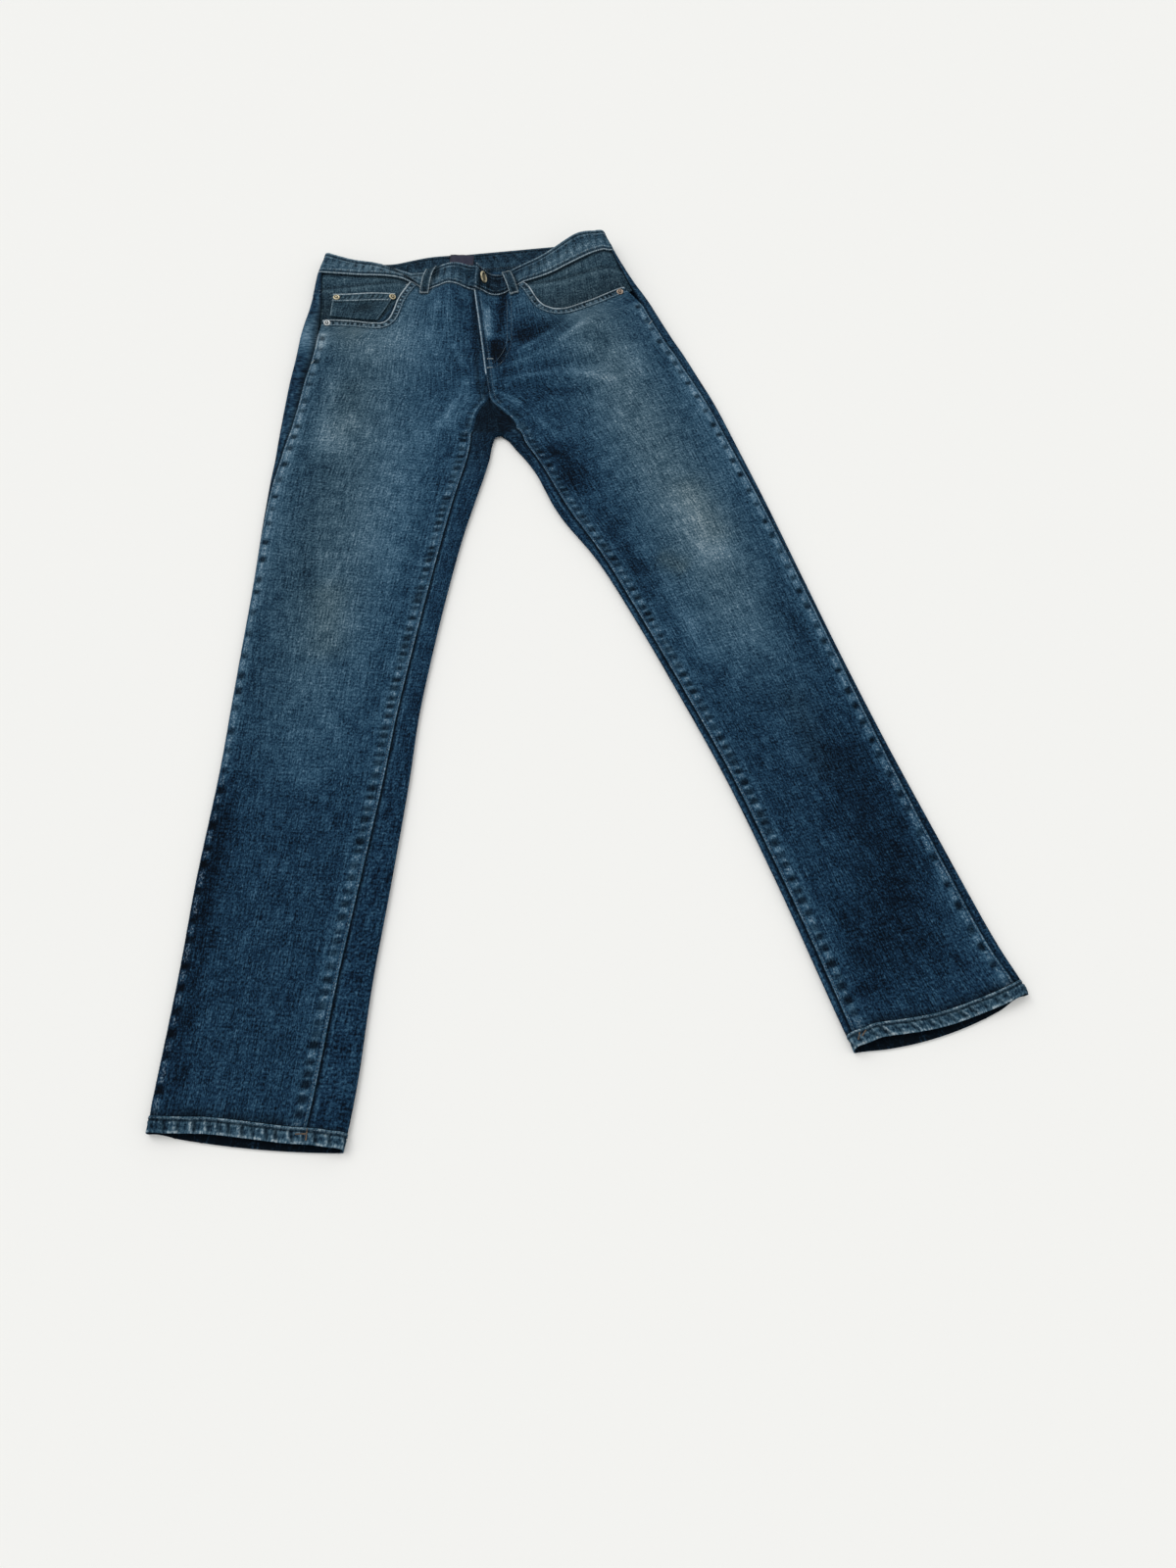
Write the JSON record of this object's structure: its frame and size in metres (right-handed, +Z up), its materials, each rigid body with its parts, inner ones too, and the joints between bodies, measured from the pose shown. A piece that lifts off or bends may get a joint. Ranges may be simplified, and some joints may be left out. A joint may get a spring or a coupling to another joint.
{
  "type": "slim fit jeans laid flat",
  "caption": "Slim five-pocket denim jeans lying flat on their back, legs spread, with fly button, coin pocket, rivets, belt loops and turned-up hems.",
  "frame": {"origin": "centre of the garment's box at the surface that it lies on", "axes": "+X to the right of the picture (the wearer's left), +Y from the hems to the waist, +Z up from the surface"},
  "size_m": [0.846, 1.2268, 0.0279],
  "materials": {
    "denim": "washed indigo twill, matt, faded on the thighs and knees",
    "denim_inside": "unfaded indigo twill, matt",
    "metal": "antiqued, satin",
    "label": "woven satin, plain"
  },
  "bodies": {
    "root": {"back_left": "denim", "back_pocket_left": "denim", "back_pocket_right": "denim", "back_right": "denim", "belt_loop_back": "denim", "belt_loop_back_left": "denim", "belt_loop_back_right": "denim", "belt_loop_left": "denim", "belt_loop_right": "denim", "button": "metal", "coin_pocket": "denim", "front_left": "denim", "front_right": "denim", "hem_left": "denim", "hem_right": "denim", "inner_label": "label", "pocket_facing_left": "denim_inside", "pocket_facing_right": "denim_inside", "rivet_coin_inner": "metal", "rivet_coin_outer": "metal", "rivet_left_pocket": "metal", "rivet_right_pocket": "metal", "waistband_left": "denim", "waistband_right": "denim", "yoke_left": "denim", "yoke_right": "denim"}
  },
  "joints": []
}
